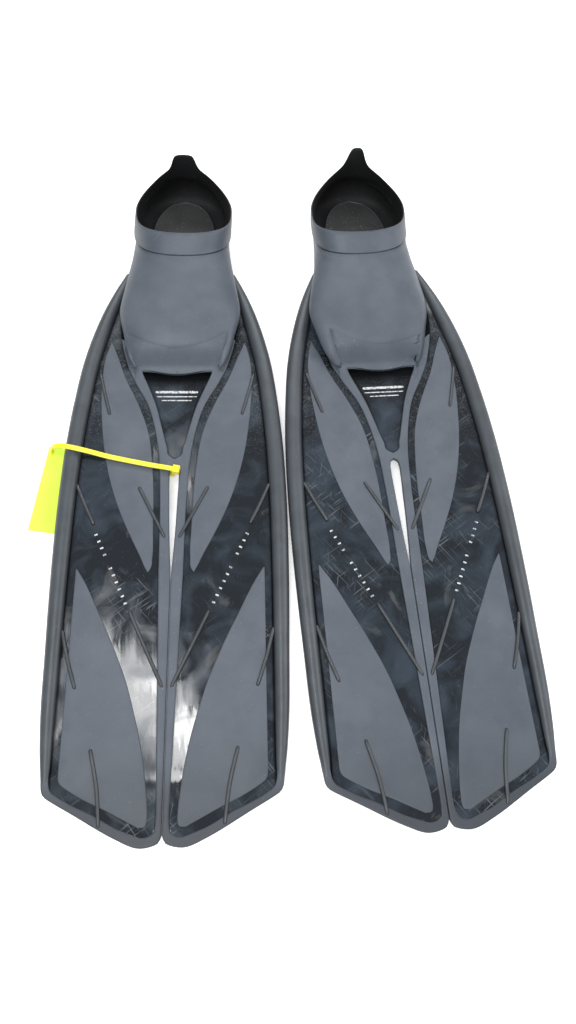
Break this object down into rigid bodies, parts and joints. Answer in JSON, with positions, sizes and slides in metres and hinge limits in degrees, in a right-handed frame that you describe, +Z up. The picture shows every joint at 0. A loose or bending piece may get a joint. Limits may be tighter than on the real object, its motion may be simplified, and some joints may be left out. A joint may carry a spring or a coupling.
{
  "type": "swim fins",
  "caption": "Pair of full-foot split-blade swim fins: soft foot pockets, side rails and hard blades with soft panels, each blade half flexing.",
  "frame": {"origin": "middle of the pair's footprint, on the floor", "axes": "+Y from the blade tips to the heels, +X to the wearer's right as seen from above with the heels away, +Z up"},
  "size_m": [0.4366, 0.6718, 0.0848],
  "materials": {
    "soft_rubber": "matte blue-grey rubber",
    "rail_rubber": "matte dark grey rubber",
    "hard_plastic": "glossy near-black, lightly scratched",
    "lining": "matte footbed",
    "tie_nylon": "yellow nylon",
    "tag_card": "fluorescent yellow-green card"
  },
  "bodies": {
    "left_foot": {"left_ankle_cuff": "soft_rubber", "left_blade_root": "hard_plastic", "left_cable_tie": "tie_nylon", "left_foot_pocket": "soft_rubber", "left_footbed": "lining", "left_inboard_inner_rib": "hard_plastic", "left_inboard_leaf_panel": "soft_rubber", "left_inboard_outer_rib": "hard_plastic", "left_inboard_rail_root": "rail_rubber", "left_inboard_upper_rib": "hard_plastic", "left_outboard_inner_rib": "hard_plastic", "left_outboard_leaf_panel": "soft_rubber", "left_outboard_outer_rib": "hard_plastic", "left_outboard_rail_root": "rail_rubber", "left_outboard_upper_rib": "hard_plastic", "left_outsole": "rail_rubber", "left_y_frame": "soft_rubber"},
    "left_outboard_tip": {"left_outboard_blade_tip": "hard_plastic", "left_outboard_edge_trim": "soft_rubber", "left_outboard_long_rib": "hard_plastic", "left_outboard_rail_tip": "rail_rubber", "left_outboard_side_rib": "hard_plastic", "left_outboard_tip_panel": "soft_rubber"},
    "left_inboard_tip": {"left_inboard_blade_tip": "hard_plastic", "left_inboard_edge_trim": "soft_rubber", "left_inboard_long_rib": "hard_plastic", "left_inboard_rail_tip": "rail_rubber", "left_inboard_side_rib": "hard_plastic", "left_inboard_tip_panel": "soft_rubber"},
    "right_foot": {"right_ankle_cuff": "soft_rubber", "right_blade_root": "hard_plastic", "right_foot_pocket": "soft_rubber", "right_footbed": "lining", "right_inboard_inner_rib": "hard_plastic", "right_inboard_leaf_panel": "soft_rubber", "right_inboard_outer_rib": "hard_plastic", "right_inboard_rail_root": "rail_rubber", "right_inboard_upper_rib": "hard_plastic", "right_outboard_inner_rib": "hard_plastic", "right_outboard_leaf_panel": "soft_rubber", "right_outboard_outer_rib": "hard_plastic", "right_outboard_rail_root": "rail_rubber", "right_outboard_upper_rib": "hard_plastic", "right_outsole": "rail_rubber", "right_y_frame": "soft_rubber"},
    "right_outboard_tip": {"right_outboard_blade_tip": "hard_plastic", "right_outboard_edge_trim": "soft_rubber", "right_outboard_long_rib": "hard_plastic", "right_outboard_rail_tip": "rail_rubber", "right_outboard_side_rib": "hard_plastic", "right_outboard_tip_panel": "soft_rubber"},
    "right_inboard_tip": {"right_inboard_blade_tip": "hard_plastic", "right_inboard_edge_trim": "soft_rubber", "right_inboard_long_rib": "hard_plastic", "right_inboard_rail_tip": "rail_rubber", "right_inboard_side_rib": "hard_plastic", "right_inboard_tip_panel": "soft_rubber"},
    "tag": {"tag": "tag_card"}
  },
  "joints": [
    {"name": "right_fin_lift", "type": "slide", "parent": "left_foot", "child": "right_foot", "axis": [0, 0, 1], "range_m": [0, 0.3]},
    {"name": "left_outboard_flex", "type": "hinge", "parent": "left_foot", "child": "left_outboard_tip", "pos_m": [-0.14158, -0.11669, 0.01309], "axis": [0.9996, -0.0279, 0], "range_deg": [-25, 25], "stiffness_Nm_per_rad": 5},
    {"name": "left_inboard_flex", "type": "hinge", "parent": "left_foot", "child": "left_inboard_tip", "pos_m": [-0.03962, -0.11953, 0.01309], "axis": [0.9996, -0.0279, 0], "range_deg": [-25, 25], "stiffness_Nm_per_rad": 5},
    {"name": "right_outboard_flex", "type": "hinge", "parent": "right_foot", "child": "right_outboard_tip", "pos_m": [0.16716, -0.11669, 0.01309], "axis": [0.9996, 0.0279, 0], "range_deg": [-25, 25], "stiffness_Nm_per_rad": 5},
    {"name": "right_inboard_flex", "type": "hinge", "parent": "right_foot", "child": "right_inboard_tip", "pos_m": [0.0652, -0.11953, 0.01309], "axis": [0.9996, 0.0279, 0], "range_deg": [-25, 25], "stiffness_Nm_per_rad": 5},
    {"name": "tag_swing", "type": "hinge", "parent": "left_foot", "child": "tag", "pos_m": [-0.19982, 0.00496, 0.00983], "axis": [-0.0014, -0.0495, 0.9988], "range_deg": [-35, 10]}
  ]
}
